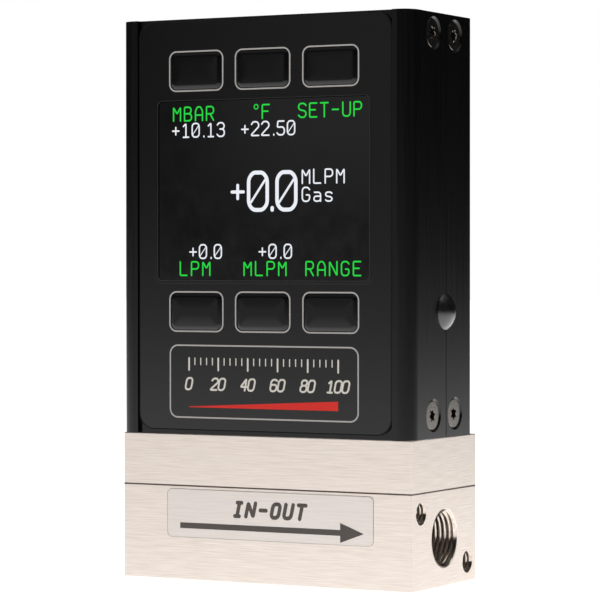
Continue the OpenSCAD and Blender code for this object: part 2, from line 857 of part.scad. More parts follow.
module overlay() color("#2a2a2c")
    upright(face_y, overlay_t) difference() {
        translate([0, (overlay_z0 + overlay_z1) / 2])
            rounded(2 * overlay_half, overlay_z1 - overlay_z0, overlay_r);
        translate([0, window_z])
            rounded(window_w + 2 * fit_gap, window_h + 2 * fit_gap,
                    window_r + fit_gap);
        at_keys() key_outline(key_inset - key_clear);
    }

module window() color("#08080a")
    upright(window_face, window_t) translate([0, window_z])
        rounded(window_w, window_h, window_r);

// Display panel with a metal frame round its glass.
module display_panel() color("darkslategray")
    translate([-display_w / 2, wall_y, display_z0])
        cube([display_w, display_t, display_z1 - display_z0]);

// Raised pad with a bevel all round, its flange and its plunger.
module key() color("#303034") {
    intersection() {
        upright(face_y - key_rise, wall_y - face_y + key_rise)
            key_outline(key_inset);
        translate([-pad_w / 2, 0, 0]) rotate([90, 0, 90])
            linear_extrude(height = pad_w) pad_section(pad_h);
        translate([0, 0, -pad_h / 2]) linear_extrude(height = pad_h)
            mirror([1, -1]) pad_section(pad_w);
    }
    upright(wall_y, key_flange_t) square([flange_w, flange_h],
                                         center = true);
    rod_y(flange_y, plunger_y - flange_y, plunger_r);
}

// Section of the pad from its bevelled face to the wall's inside.
module pad_section(size) {
    polygon([
        [face_y - key_rise, -size / 2 + key_bevel],
        [face_y, -size / 2],
        [wall_y, -size / 2],
        [wall_y, size / 2],
        [face_y, size / 2],
        [face_y - key_rise, size / 2 - key_bevel]
    ]);
}

module key_top_left() translate([-key_pitch, 0, key_z1]) key();
module key_top_middle() translate([0, 0, key_z1]) key();
module key_top_right() translate([key_pitch, 0, key_z1]) key();
module key_bottom_left() translate([-key_pitch, 0, key_z0]) key();
module key_bottom_middle() translate([0, 0, key_z0]) key();
module key_bottom_right() translate([key_pitch, 0, key_z0]) key();

// Electronics

// Snap domes under the keys, each a shallow spherical cap.
module key_domes() color("silver")
    for (z = [key_z0, key_z1], i = [-1 : 1])
        translate([i * key_pitch, board_y, z]) rotate([90, 0, 0])
            rotate_extrude() cap_section(dome_r, dome_h);

// Board screw places, in the corners beside the keys.
module at_board_screws() {
    for (i = [-1, 1], z = [board_z0 + board_hole, board_z1 - board_hole])
        translate([i * standoff_x, 0, z]) children();
}

module main_board() color("darkgreen") difference() {
    translate([-board_w / 2, board_y, board_z0])
        cube([board_w, board_t, board_z1 - board_z0]);
    at_board_screws()
        rod_y(board_y - over, board_t + 2 * over,
              board_screw_r + hole_clear);
}

// Processor, two capacitors and a socket on the back of the board.
module board_components() color("#202020") {
    mid_z = (board_z0 + board_z1) / 2;
    translate([board_w * component_shares[0] - chip_w / 2, board_back,
               mid_z])
        cube([chip_w, chip_t, chip_w]);
    for (i = [0, 1])
        translate([board_w * component_shares[1], 0,
                   mid_z + i * (2 * cap_r + part_gap)])
            rod_y(board_back, cap_len, cap_r);
}

module board_standoffs() color("silver")
    at_board_screws() difference() {
        rod_y(wall_y, board_y - wall_y, standoff_r);
        rod_y(wall_y - over, board_y - wall_y + 2 * over,
              board_screw_r + thread_clear);
    }

module board_screws() color("silver")
    at_board_screws() {
        rod_y(board_y - display_t / 2, display_t / 2 + board_t,
              board_screw_r);
        rod_y(board_back, small_head_h, small_head_r);
    }

// Power jack

module power_jack() color("#151515") {
    half = barrel_r + jack_wall;
    difference() {
        translate([jack_x1 - jack_len, board_back, jack_axis_z - half])
            cube([jack_len, seam_y + half - board_back, 2 * half]);
        translate([0, seam_y, jack_axis_z]) {
            rod_x(jack_x1 - barrel_depth, barrel_depth + over, barrel_r);
            rod_x(jack_x1 - jack_len - over, jack_len, pin_r);
        }
    }
}

// Centre pin, from the back of the jack to just inside its mouth.
module jack_pin() color("silver")
    translate([0, seam_y, jack_axis_z])
        rod_x(jack_x1 - jack_len, jack_len - part_gap,
              pin_r - thread_clear);

// Dust plug with a domed head and a hollow stem.
module jack_plug() color("#101012")
    translate([half_w, seam_y, jack_axis_z]) rotate([0, 90, 0])
        rotate_extrude() {
            cap_section(plug_r, plug_h);
            translate([0, -over]) square([stem_r, over]);
            translate([stem_r - plug_wall, stem_x - half_w])
                square([plug_wall, half_w - stem_x]);
        }

// Signal connector

module connector_body() color("#18181a")
    translate([0, con_y, 0]) difference() {
        union() {
            translate([0, 0, cap_under - con_len])
                cylinder(h = con_len, r = con_r);
            translate([0, 0, cap_under - con_len])
                cylinder(h = con_len + top_t, r = con_neck_r);
        }
        translate([0, 0, house_top - socket_depth])
            cylinder(h = socket_depth + over, r = socket_r);
        connector_places() translate([0, 0, cap_under - con_len - over])
            cylinder(h = con_len + over, r = contact_r + thread_clear);
    }

module connector_shield() color("silver")
    translate([0, con_y, house_top - socket_depth]) difference() {
        cylinder(h = socket_depth, r = shield_r);
        translate([0, 0, -over])
            cylinder(h = socket_depth + 2 * over, r = shield_r - shield_t);
    }

// Seven contacts on an open ring and one in the middle.
module connector_places() {
    children();
    for (i = [0 : 6]) rotate(i * 45 - 45) translate([contact_ring_r, 0, 0])
        children();
}

module connector_insert() color("#222224")
    translate([0, con_y, house_top - socket_depth]) difference() {
        cylinder(h = socket_depth, r = insert_r);
        connector_places() translate([0, 0, -over])
            cylinder(h = socket_depth + 2 * over,
                     r = contact_r + thread_clear);
        rotate(-90) translate([contact_ring_r + contact_r, -contact_r, -over])
            cube([insert_r, 2 * contact_r, socket_depth + 2 * over]);
    }

module connector_contacts() color("gold")
    translate([0, con_y, cap_under - con_len]) connector_places()
        cylinder(h = con_len + top_t - part_gap, r = contact_r);

flow_body();
cap_block();
flow_element();
element_ring();
tap_seals();
block_screws();
dp_sensor();
pressure_sensor();
temperature_probe();
sensor_seals();
sensor_board();
board_header();
bottom_frame();
frame_screws();
front_shell();
rear_shell();
top_cap();
side_screws();
overlay();
window();
display_panel();
main_board();
board_components();
board_standoffs();
board_screws();
key_domes();
key_top_left();
key_top_middle();
key_top_right();
key_bottom_left();
key_bottom_middle();
key_bottom_right();
power_jack();
jack_pin();
jack_plug();
connector_body();
connector_shield();
connector_insert();
connector_contacts();
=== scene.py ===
"""Looks of a compact laminar mass flow meter.

A black anodised housing with a display and six push keys stands on two
brushed stainless blocks with a threaded gas port at each end. Lengths are in
millimetres, and become metres where a mesh is made. The places and sizes of
the lamps are in metres.
"""

import bmesh
import bpy
import numpy as np
from mathutils import Matrix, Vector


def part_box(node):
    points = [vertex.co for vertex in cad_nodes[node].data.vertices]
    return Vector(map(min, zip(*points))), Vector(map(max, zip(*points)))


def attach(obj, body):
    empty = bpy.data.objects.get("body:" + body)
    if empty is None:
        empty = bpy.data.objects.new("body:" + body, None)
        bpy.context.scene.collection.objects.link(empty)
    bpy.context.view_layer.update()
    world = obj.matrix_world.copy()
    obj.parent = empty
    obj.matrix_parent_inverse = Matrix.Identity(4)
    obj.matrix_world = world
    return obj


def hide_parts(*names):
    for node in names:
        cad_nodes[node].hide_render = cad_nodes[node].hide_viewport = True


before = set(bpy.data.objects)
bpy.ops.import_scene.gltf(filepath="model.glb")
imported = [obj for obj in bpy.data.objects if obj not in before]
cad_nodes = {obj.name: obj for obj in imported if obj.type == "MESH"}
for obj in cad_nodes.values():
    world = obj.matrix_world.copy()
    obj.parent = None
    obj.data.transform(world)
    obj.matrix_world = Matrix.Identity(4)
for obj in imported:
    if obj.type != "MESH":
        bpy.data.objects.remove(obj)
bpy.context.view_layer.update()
MM = 0.001


def box_of(node):
    """Lowest and highest corner of a CAD node, in millimetres."""
    low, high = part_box(node)
    return np.array(low) / MM, np.array(high) / MM


# Sizes read from the frame

BODY_LOW, BODY_HIGH = box_of("flow_body")
HALF_BASE, FRONT_Y, BODY_TOP = BODY_HIGH[0], BODY_LOW[1], BODY_HIGH[2]
BLOCK_TOP = box_of("cap_block")[1][2]
HOUSE_TOP = box_of("front_shell")[1][2]
HALF_HOUSE = box_of("front_shell")[1][0]
OVERLAY_LOW, OVERLAY_HIGH = box_of("overlay")
FACE_Y = OVERLAY_LOW[1]
WINDOW_LOW, WINDOW_HIGH = box_of("window")
GLASS_Y = WINDOW_LOW[1]
KEYS = [n for n in cad_nodes if n.startswith("key_") and n != "key_domes"]

# Sizes of solids drawn again here, and of details that they leave plain

HAIR = 0.015  # how far a print stands in front of what carries it
PRINT_LINE = 0.27  # width of the outlines printed on the overlay
EDGE_UP = 0.012  # how far the film's edge stands in front of its face
OVERLAY_R, OVERLAY_THICK, FRONT_WALL = 3.1, 0.5, 2.0
KEY_R, KEY_RISE, KEY_BEVEL, KEY_INSET = 1.4, 0.4, 0.75, 0.3
KEY_TOP_R, KEY_FLANGE_OUT, KEY_FLANGE_THICK, KEY_FLANGE_R = 0.45, 0.75, 0.8, 0.2
PLUNGER_R = 1.4
JOINT_HALF, JOINT_DEEP, JOINT_R, JOINT_BACK_R = 0.13, 0.25, 0.2, 0.05
LABEL_R, LABEL_THICK, LABEL_ROUND, LABEL_LINE = 1.0, 0.07, 0.05, 0.09

# Threads: (radius, pitch, depth, ridge, cone at the mouth) of the pipe
# threads and of the small tapped holes beside them. The skin of a thread
# lies a little inside the bore's.
THREAD_INSIDE = 0.02
PORT = (5.145 - THREAD_INSIDE, 0.941, 10.6, 0.42, 0.06)
SMALL_HOLE = (2.08 - THREAD_INSIDE, 0.794, 5.3, 0.35, 0.05)
HOLE_FROM_BACK, HOLE_FROM_BOTTOM = 3.7, 3.65

# Smoothness of curves
CORNER_STEPS, BEVEL_STEPS, TURN_STEPS, THREAD_STEPS = 9, 9, 72, 48


# Meshes


def sheet(points, around=False):
    """A grid of points (rows, columns, 3) as a list of points and the quads
    between its neighbours; with around, the last column joins the first."""
    rows, columns = points.shape[:2]
    row = np.arange(rows - 1)[:, None] * columns
    here = np.arange(columns if around else columns - 1)
    beside = (here + 1) % columns
    quads = np.stack([row + here, row + beside, row + columns + beside,
                      row + columns + here], -1)
    return points.reshape(-1, 3), quads.reshape(-1, 4)


def make(name, sheets, material, body="housing", sharp=35):
    """One piece from a list of sheets, in metres, with its doubles merged
    and its shading smooth below an angle in degrees."""
    counts = [len(points) for points, _ in sheets]
    starts = np.cumsum([0] + counts[:-1])
    points = np.concatenate([points for points, _ in sheets]) * MM
    quads = np.concatenate([q + s for (_, q), s in zip(sheets, starts)])
    mesh = bpy.data.meshes.new(name)
    mesh.from_pydata(points.tolist(), [], quads.tolist())
    work = bmesh.new()
    work.from_mesh(mesh)
    bmesh.ops.remove_doubles(work, verts=work.verts, dist=1e-8)
    work.to_mesh(mesh)
    work.free()
    mesh.validate()
    mesh.shade_smooth()
    mesh.set_sharp_from_angle(angle=np.radians(sharp))
    mesh.materials.append(material)
    piece = bpy.data.objects.new(name, mesh)
    bpy.context.scene.collection.objects.link(piece)
    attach(piece, body)
    return piece


def rounded_path(width, height, radius):
    """Rounded rectangles round the origin, anticlockwise: each corner's
    centre plus the radius at an angle that runs through a quarter turn."""
    width, height, radius = (np.atleast_1d(v)[:, None, None]
                             for v in (width, height, radius))
    angle = np.radians(np.linspace(0, 90, CORNER_STEPS)
                       + np.array([0, 90, 180, 270])[:, None])
    right = np.array([1, -1, -1, 1])[:, None]
    up = np.array([1, 1, -1, -1])[:, None]
    u = right * (width / 2 - radius) + radius * np.cos(angle)
    v = up * (height / 2 - radius) + radius * np.sin(angle)
    return u.reshape(len(u), -1), v.reshape(len(v), -1)


def loft(profile, centre=(0.0, 0.0), level=False):
    """Skin through rounded rectangles (width, height, radius, place). They
    face the front, one behind the other along Y, or lie level, one above
    the other along Z, round a centre."""
    width, height, radius, place = np.array(profile, float).T
    u, v = rounded_path(width, height, radius)
    u, v = u + centre[0], v + centre[1]
    w = np.broadcast_to(place[:, None], u.shape)
    return sheet(np.stack([u, v, w] if level else [u, w, v], -1), around=True)


def ring_rows(width, height, radius, rows):
    """Profile of a loft whose rows (outwards, place) lie outwards of a
    rounded rectangle all round, or inside it where that is negative."""
    return [(width + 2 * out, height + 2 * out, radius + out, place)
            for out, place in rows]


def print_ring(width, height, radius, line, centre, y):
    """Printed line of an even width round a rounded rectangle: a flat ring
    that stands a hair in front of y."""
    out, into = line / 2, -line / 2
    rings = [(out, y), (out, y - HAIR), (into, y - HAIR), (into, y)]
    return loft(ring_rows(width, height, radius, rings), centre)


def bent(points, radius):
    """Line through flat points with rounded corners: each corner becomes a
    quadratic curve from a point before it to a point after it."""
    points = np.asarray(points, float)
    corner = points[1:-1]

    def cut(other):
        reach = other - corner
        size = np.linalg.norm(reach, axis=1)[:, None]
        return corner + reach * np.minimum(radius / size, 0.46)

    s = np.linspace(0, 1, 5)[None, :, None]
    before, after = cut(points[:-2])[:, None], cut(points[2:])[:, None]
    curve = ((1 - s) ** 2 * before + 2 * s * (1 - s) * corner[:, None]
             + s ** 2 * after)
    return np.concatenate([points[:1], curve.reshape(-1, 2), points[-1:]])


CAP_TURN = np.radians([90, 62, 36, 14])
ACROSS = np.array([-1, -0.85, 0, 0.85, 1])
CROWN = np.array([0, 0.7, 1, 0.7, 0])


def stroke(path, half, y, rise=HAIR):
    """Line with round ends along a flat path (x, z), standing in front of y.
    Across it the points lie at shares of the half width, and rise to a
    slight crown in the middle. Beyond each end the width falls as a cosine
    while the path runs on as the sine of the same angle, which makes a half
    circle."""
    path = np.asarray(path, float)
    along = np.gradient(path, axis=0)
    along /= np.linalg.norm(along, axis=1)[:, None]
    beyond = half * np.sin(CAP_TURN)[:, None]
    places = np.concatenate([path[0] - beyond * along[0], path,
                             path[-1] + beyond[::-1] * along[-1]])
    along = np.concatenate([np.repeat(along[:1], len(CAP_TURN), 0), along,
                            np.repeat(along[-1:], len(CAP_TURN), 0)])
    width = half * np.concatenate([np.cos(CAP_TURN), np.ones(len(path)),
                                   np.cos(CAP_TURN)[::-1]])
    side = np.stack([along[:, 1], -along[:, 0]], -1)
    flat = places[:, None] + (ACROSS[:, None] * width[:, None, None]
                              * side[:, None])
    depth = np.broadcast_to(y - rise * CROWN, flat.shape[:2])
    return sheet(np.stack([flat[..., 0], depth, flat[..., 1]], -1))


# Plain engineering characters, drawn by their centre lines in a cell one
# unit high and 0.6 wide.
ROUND = [(.3, 1), (.14, 1), (0, .84), (0, .16), (.14, 0), (.46, 0),
         (.6, .16), (.6, .84), (.46, 1), (.3, 1)]
BOWL = [(0, 0), (0, 1), (.46, 1), (.6, .87), (.6, .6), (.46, .47), (0, .47)]
GLYPHS = {
    "A": [[(0, 0), (0, .7), (.17, 1), (.43, 1), (.6, .7), (.6, 0)],
          [(0, .4), (.6, .4)]],
    "B": [[(0, 0), (0, 1), (.42, 1), (.56, .88), (.56, .64), (.42, .52),
           (0, .52)],
          [(.42, .52), (.6, .4), (.6, .13), (.44, 0), (0, 0)]],
    "E": [[(.58, 1), (0, 1), (0, 0), (.58, 0)], [(0, .52), (.46, .52)]],
    "F": [[(.58, 1), (0, 1), (0, 0)], [(0, .52), (.46, .52)]],
    "G": [[(.6, .84), (.46, 1), (.14, 1), (0, .84), (0, .16), (.14, 0),
           (.46, 0), (.6, .16), (.6, .46), (.34, .46)]],
    "I": [[(.12, 1), (.48, 1)], [(.3, 1), (.3, 0)], [(.12, 0), (.48, 0)]],
    "L": [[(0, 1), (0, 0), (.56, 0)]],
    "M": [[(0, 0), (0, 1), (.3, .52), (.6, 1), (.6, 0)]],
    "N": [[(0, 0), (0, 1), (.6, 0), (.6, 1)]],
    "O": [ROUND],
    "P": [BOWL],
    "R": [BOWL, [(.3, .47), (.6, 0)]],
    "S": [[(.6, .85), (.46, 1), (.14, 1), (0, .87), (0, .65), (.14, .53),
           (.46, .47), (.6, .36), (.6, .14), (.46, 0), (.14, 0), (0, .15)]],
    "T": [[(0, 1), (.6, 1)], [(.3, 1), (.3, 0)]],
    "U": [[(0, 1), (0, .16), (.14, 0), (.46, 0), (.6, .16), (.6, 1)]],
    "a": [[(.06, .64), (.44, .64), (.56, .52), (.56, 0)],
          [(.56, .36), (.14, .36), (.02, .26), (.02, .1), (.14, 0),
           (.42, 0), (.56, .12)]],
    "s": [[(.54, .56), (.44, .64), (.14, .64), (.04, .55), (.04, .42),
           (.14, .35), (.44, .3), (.55, .22), (.55, .09), (.44, 0),
           (.14, 0), (.04, .08)]],
    "o": [[(.3, 1.02), (.18, 1.02), (.1, .92), (.1, .8), (.18, .7),
           (.34, .7), (.42, .8), (.42, .92), (.34, 1.02), (.3, 1.02)]],
    "+": [[(.3, .74), (.3, .2)], [(.03, .47), (.57, .47)]],
    "-": [[(.06, .5), (.54, .5)]],
    ".": [[(.15, 0), (.15, .05)]],
    "0": [ROUND],
    "1": [[(.1, .8), (.32, 1), (.32, 0)], [(.1, 0), (.54, 0)]],
    "2": [[(0, .82), (.14, 1), (.46, 1), (.6, .84), (.6, .64), (0, .08),
           (0, 0), (.6, 0)]],
    "3": [[(.02, .85), (.15, 1), (.45, 1), (.59, .86), (.59, .66),
           (.45, .54), (.24, .54)],
          [(.45, .54), (.6, .42), (.6, .14), (.45, 0), (.15, 0), (0, .15)]],
    "4": [[(.46, 0), (.46, 1), (0, .32), (.6, .32)]],
    "5": [[(.56, 1), (.06, 1), (.02, .56), (.44, .58), (.6, .45),
           (.6, .14), (.45, 0), (.14, 0), (0, .14)]],
    "6": [[(.54, .9), (.44, 1), (.16, 1), (0, .84), (0, .16), (.15, 0),
           (.45, 0), (.6, .16), (.6, .42), (.46, .56), (.1, .56), (0, .46)]],
    "8": [[(.3, 1), (.16, 1), (.04, .88), (.04, .66), (.16, .54),
           (.44, .54), (.56, .66), (.56, .88), (.44, 1), (.3, 1)],
          [(.3, .54), (.14, .54), (0, .4), (0, .14), (.14, 0), (.46, 0),
           (.6, .14), (.6, .4), (.46, .54), (.3, .54)]],
}
SLASH = [(.07, .2), (.53, .8)]
SLASH_WEIGHT, DEGREE_WEIGHT = 0.6, 0.7


def lettering(words, left, base, height, pitch, half, y, slant=0.0,
              slashed=False, narrow=1.0):
    """Strokes of a line of characters. Each centre line is scaled to the
    height, leans by the slant times its own height, and steps to the right
    by the pitch, or half of it after a point. Each stroke stands a shade
    higher than the one before, so that crossing strokes don't coincide. The
    degree ring, written o, and the slash of a zero are thinner."""
    strokes, x = [], left
    corner = max(0.1, 0.9 * half / height)
    for letter in words:
        lines = list(GLYPHS[letter])
        weights = [half * (DEGREE_WEIGHT if letter == "o" else 1)] * len(lines)
        if letter == "0" and slashed:
            lines.append(SLASH)
            weights.append(half * SLASH_WEIGHT)
        for i, (line, weight) in enumerate(zip(lines, weights)):
            path = (bent(line, corner) if len(line) > 2
                    else np.array(line, float))
            path = path * height * np.array([narrow, 1])
            path[:, 0] += slant * path[:, 1] + x
            path[:, 1] += base
            strokes.append(stroke(path, weight, y, HAIR * (1 + 0.3 * i)))
        x += pitch * (0.5 if letter == "." else 1)
    return strokes


def revolved(profile, centre, side, turn=0.0):
    """Skin of revolution about an axis along X. The profile is a list of
    (distance outwards, radius, lobe share); at an angle the radius grows by
    the lobe share times a cosine of six times the angle."""
    out, radius, share = np.array(profile, float).T[:, :, None]
    angle = np.linspace(0, 2 * np.pi, TURN_STEPS, endpoint=False) + turn
    r = radius + share * np.cos(6 * (angle - turn))
    return sheet(np.stack([side * (np.abs(centre[0]) + out + 0 * angle),
                           centre[1] + side * r * np.cos(angle),
                           centre[2] + r * np.sin(angle)], -1), around=True)


def thread(centre, side, size):
    """Inside of a tapped hole along X. A point at a turn t and a share q of
    the pitch lies (t / full turn + q) pitches deep; its radius is the major
    one less the ridge's height where q passes the crest, but never less
    than the mouth's cone. The depth is held between the mouth and the end."""
    major, pitch, depth, height, mouth = size
    turns = depth / pitch + 1
    t = np.linspace(-2 * np.pi, 2 * np.pi * turns,
                    int(THREAD_STEPS * turns))[:, None]
    q = np.array([0, 0.06, 0.44, 0.56, 0.94, 1.0])
    ridge = np.array([0, 0, 1, 1, 0, 0]) * height
    deep = np.clip(pitch * (t / (2 * np.pi) + q), 0, depth)
    r = np.maximum(major - ridge, major + mouth - deep)
    r = np.where(deep >= depth, major, r)
    return sheet(np.stack([side * (abs(centre[0]) - deep),
                           centre[1] + side * r * np.cos(-t),
                           centre[2] + r * np.sin(-t)], -1))


# Materials


def linear(colour):
    """sRGB hex to linear: the low part divided by 12.92, the rest shifted by
    0.055, divided by 1.055 and raised to 2.4."""
    c = np.array([int(colour[i:i + 2], 16) for i in (1, 3, 5)]) / 255
    c = np.where(c <= 0.04045, c / 12.92, ((c + 0.055) / 1.055) ** 2.4)
    return (*c.tolist(), 1.0)


def add(tree, kind, inputs=None, **settings):
    """One shader node with its settings. An input is a constant or the
    output of another node."""
    node = tree.nodes.new("ShaderNode" + kind)
    for name, value in settings.items():
        setattr(node, name, value)
    for name, value in (inputs or {}).items():
        if isinstance(value, bpy.types.NodeSocket):
            tree.links.new(value, node.inputs[name])
        else:
            node.inputs[name].default_value = value
    return node


def start(name, **constants):
    """A material with its shader, the constants on the shader's own sockets
    and Object coordinates turned to millimetres."""
    material = bpy.data.materials.new(name)
    material.use_nodes = True
    tree = material.node_tree
    tree.nodes.clear()
    shader = add(tree, "BsdfPrincipled", {
        key.replace("_", " "): value for key, value in constants.items()})
    add(tree, "OutputMaterial", {"Surface": shader.outputs[0]})
    place = add(tree, "TexCoord").outputs["Object"]
    in_mm = add(tree, "Mapping", {"Vector": place,
                                  "Scale": (1000, 1000, 1000)})
    return material, tree, shader, in_mm.outputs[0]


def grain(name, dark, light, size, rough, bump, stretch=(1, 1, 1), detail=3.0,
          level=False, **constants):
    """Material whose colour and roughness run between two values by one
    noise pattern, whose grains have a size in millimetres, longer where the
    stretch is more than 1. The bump's depth is in millimetres. With level,
    the surface's grain runs level all round the Z axis, so that it spreads
    gloss up and down."""
    material, tree, shader, place = start(name, **constants)
    drawn = add(tree, "Mapping", {"Vector": place, "Scale": tuple(
        1 / (size * s) for s in stretch)})
    noise = add(tree, "TexNoise", {"Vector": drawn.outputs[0], "Scale": 1.0,
                                   "Detail": detail, "Roughness": 0.6})
    spread = add(tree, "MapRange", {"Value": noise.outputs[0],
                                    "From Min": 0.3, "From Max": 0.7})
    tone = add(tree, "Mix", {0: spread.outputs[0], 6: linear(dark),
                             7: linear(light)}, data_type="RGBA")
    gloss = add(tree, "MapRange", {"Value": spread.outputs[0],
                                   "To Min": rough[0], "To Max": rough[1]})
    relief = add(tree, "Bump", {"Height": noise.outputs[0], "Strength": 0.6,
                                "Distance": bump * MM})
    tree.links.new(tone.outputs[2], shader.inputs["Base Color"])
    tree.links.new(gloss.outputs[0], shader.inputs["Roughness"])
    tree.links.new(relief.outputs[0], shader.inputs["Normal"])
    if level:
        round_z = add(tree, "Tangent", direction_type="RADIAL", axis="Z")
        tree.links.new(round_z.outputs[0], shader.inputs["Tangent"])
    return material


# 303 stainless bar, ground and brushed along its length: pale warm grey
# with soft level streaks. The real scratches are about 0.05 mm; they are
# drawn 0.2 mm high and 30 times longer so that the render shows them.
stainless = grain("brushed_stainless_steel", "#D9CDC3", "#F1E7DF", 0.2,
                  (0.5, 0.56), 0.002, (30, 30, 1), 5.0, level=True,
                  Metallic=1.0, Anisotropic=0.85,
                  Anisotropic_Rotation=0.25)

# The same steel where a tap or a drill has cut it: shinier, with turning marks,
# and painted darker to stand in for the shade deep in the holes.
cut_steel_painted_shade = grain("tapped_steel_painted_shade", "#8F857C", "#B5ABA1", 0.35,
                  (0.14, 0.22), 0.002, (1, 3, 3), Metallic=1.0)

# 6063 aluminium extrusion, black anodised: a satin near-black with faint
# upright die lines, drawn 0.3 mm apart.
anodised = grain("black_anodised_aluminium", "#030304", "#070708", 0.3,
                 (0.18, 0.26), 0.003, (1, 1, 120),
                 Specular_IOR_Level=0.28)

# Polyester overlay with a fine matt texture (grains of 0.15 mm).
overlay_film = grain("matt_polyester_overlay", "#040405", "#070708", 0.15,
                     (0.18, 0.22), 0.001, Specular_IOR_Level=0.37)

# The same film where it is embossed over a key: a shade duller.
key_film = grain("embossed_key_film", "#040405", "#070708", 0.15,
                 (0.18, 0.22), 0.001, Specular_IOR_Level=0.3)

# Edge of the die-cut film: a dull dark line that paints the shadow in the gap
# between the film and the housing's lip.
film_edge_painted_shadow = grain("cut_film_edge", "#030303", "#060606", 0.3, (0.6, 0.7),
                  0.002, Specular_IOR_Level=0.15)

# The same film cut and rounded round the window, painted paler than the film:
# a painted highlight along the rim.
window_rim_painted_highlight = grain("film_rim_painted_highlight", "#161617", "#1E1E1F", 0.3,
                   (0.3, 0.36), 0.002, Specular_IOR_Level=0.5)

# Smoked acrylic with a black mask behind: glossy black.
glass = grain("smoked_acrylic", "#020203", "#030304", 3.0, (0.12, 0.16),
              0.0, Specular_IOR_Level=0.5)

# Screen prints: flat inks with the film's texture.
print_grey = grain("screen_print_grey", "#A5A19D", "#B5B1AD", 0.2,
                   (0.5, 0.6), 0.002, Specular_IOR_Level=0.2)
print_pale = grain("screen_print_ivory", "#C9C4BA", "#DAD5CB", 0.2,
                   (0.5, 0.6), 0.002, Specular_IOR_Level=0.2)
print_red = grain("screen_print_red", "#C9251F", "#D8332B", 0.2,
                  (0.5, 0.6), 0.002, Specular_IOR_Level=0.2)
print_dark = grain("label_print_charcoal", "#4A4440", "#554F4A", 0.2,
                   (0.45, 0.55), 0.002, Specular_IOR_Level=0.3)

# Clear polyester label on brushed steel: the steel shows through, a little
# greyer and smoother.
label_film = grain("clear_polyester_label", "#D3CBC6", "#E2DAD4", 0.2,
                   (0.48, 0.54), 0.001, (30, 30, 1), 5.0, level=True,
                   Metallic=1.0, Anisotropic=0.85,
                   Anisotropic_Rotation=0.25)

# Dark line that fills the joint between the two blocks; its colour paints the
# shadow of the narrow gap there.
joint_shadow_paint = grain("joint_painted_shadow", "#3A2D26", "#54463C", 0.4, (0.6, 0.7),
                   0.01)

# Steel screws with a black oxide finish: dark grey, oily satin.
black_oxide = grain("black_oxide_steel", "#6A6561", "#85807A", 0.4,
                    (0.2, 0.28), 0.004, Metallic=1.0)

# Moulded rubber dust plug, polished by its mould.
plug_rubber = grain("glossy_moulded_rubber", "#0A0A0B", "#121213", 1.2,
                    (0.22, 0.3), 0.004, Specular_IOR_Level=0.7)

# Parts inside the housing and the base.
seal_rubber = grain("nitrile_rubber", "#141414", "#1E1E1E", 0.3, (0.6, 0.75),
                    0.01)
turned_steel = grain("turned_steel", "#9C9A97", "#C6C4C0", 0.3, (0.2, 0.32),
                     0.003, (1, 1, 0.4), Metallic=1.0)
solder_mask = grain("green_solder_mask", "#0E4A26", "#155C31", 1.6,
                    (0.3, 0.42), 0.01)
moulded = grain("moulded_black_nylon", "#161617", "#202021", 0.4,
                (0.45, 0.6), 0.01, Specular_IOR_Level=0.4)
gold_plate = grain("gold_plated_brass", "#D9AE57", "#ECC673", 0.3,
                   (0.18, 0.28), 0.002, Metallic=1.0)
display_glass = grain("display_glass", "#0C0D10", "#121418", 2.0,
                      (0.08, 0.14), 0.0)


def lit_segment(name, colour):
    """Lit dots of a liquid crystal display: an even glow with a slight
    unevenness of the backlight, in patches of 6 mm."""
    material, tree, shader, place = start(
        name, Roughness=0.5, Specular_IOR_Level=0.0, Emission_Strength=1.0)
    patches = add(tree, "TexNoise", {"Vector": place, "Scale": 1 / 6})
    glow = add(tree, "MapRange", {"Value": patches.outputs[0],
                                  "To Min": 0.85, "To Max": 1.0})
    colour = add(tree, "Mix", {0: glow.outputs[0], 6: linear("#000000"),
                               7: linear(colour)}, data_type="RGBA")
    shader.inputs["Base Color"].default_value = linear("#020202")
    tree.links.new(colour.outputs[2], shader.inputs["Emission Color"])
    return material


green_lit = lit_segment("lit_green_segment", "#2CE24A")
white_lit = lit_segment("lit_white_segment", "#F4F8FF")

CAD_FINISHES = {
    stainless: ["flow_body", "cap_block"],
    anodised: ["front_shell", "rear_shell", "top_cap"],
    overlay_film: ["overlay"],
    glass: ["window"],
    display_glass: ["display_panel"],
    solder_mask: ["sensor_board", "main_board"],
    moulded: ["dp_sensor", "board_header", "bottom_frame",
              "board_components", "power_jack", "connector_body",
              "connector_insert"],
    turned_steel: ["flow_element", "element_ring", "block_screws",
                   "pressure_sensor", "frame_screws", "board_standoffs",
                   "board_screws", "key_domes", "connector_shield"],
    seal_rubber: ["tap_seals", "sensor_seals"],
    plug_rubber: ["jack_plug"],
    gold_plate: ["temperature_probe", "jack_pin", "connector_contacts"],
}
for material, names in CAD_FINISHES.items():
    for name in names:
        cad_nodes[name].data.materials.clear()
        cad_nodes[name].data.materials.append(material)

# Base

base_w, base_d = 2 * HALF_BASE, 2 * BODY_HIGH[1]
joint_back = (base_w - 2 * JOINT_DEEP, base_d - 2 * JOINT_DEEP, JOINT_BACK_R)
joint_front = (base_w + HAIR, base_d + HAIR, JOINT_R)
# A dark ring round the joint: painted shadow of the gap between the blocks.
make("joint_line", [loft(
    [(*joint_back, BODY_TOP - JOINT_HALF),
     (*joint_front, BODY_TOP - JOINT_HALF),
     (*joint_front, BODY_TOP + JOINT_HALF),
     (*joint_back, BODY_TOP + JOINT_HALF)], level=True)], joint_shadow_paint)

PORT_Z = BODY_TOP / 2
# Threads in the holes, in the steel painted darker for the shade inside them.
make("port_threads", [thread((HALF_BASE, 0, PORT_Z), side, PORT)
                      for side in (1, -1)], cut_steel_painted_shade)
HOLE_Y = BODY_HIGH[1] - HOLE_FROM_BACK
HOLE_DZ = PORT_Z - HOLE_FROM_BOTTOM
make("side_hole_threads", [
    thread((HALF_BASE, -side * up * HOLE_Y, PORT_Z + up * HOLE_DZ), side,
           SMALL_HOLE)
    for side in (1, -1) for up in (1, -1)], cut_steel_painted_shade)

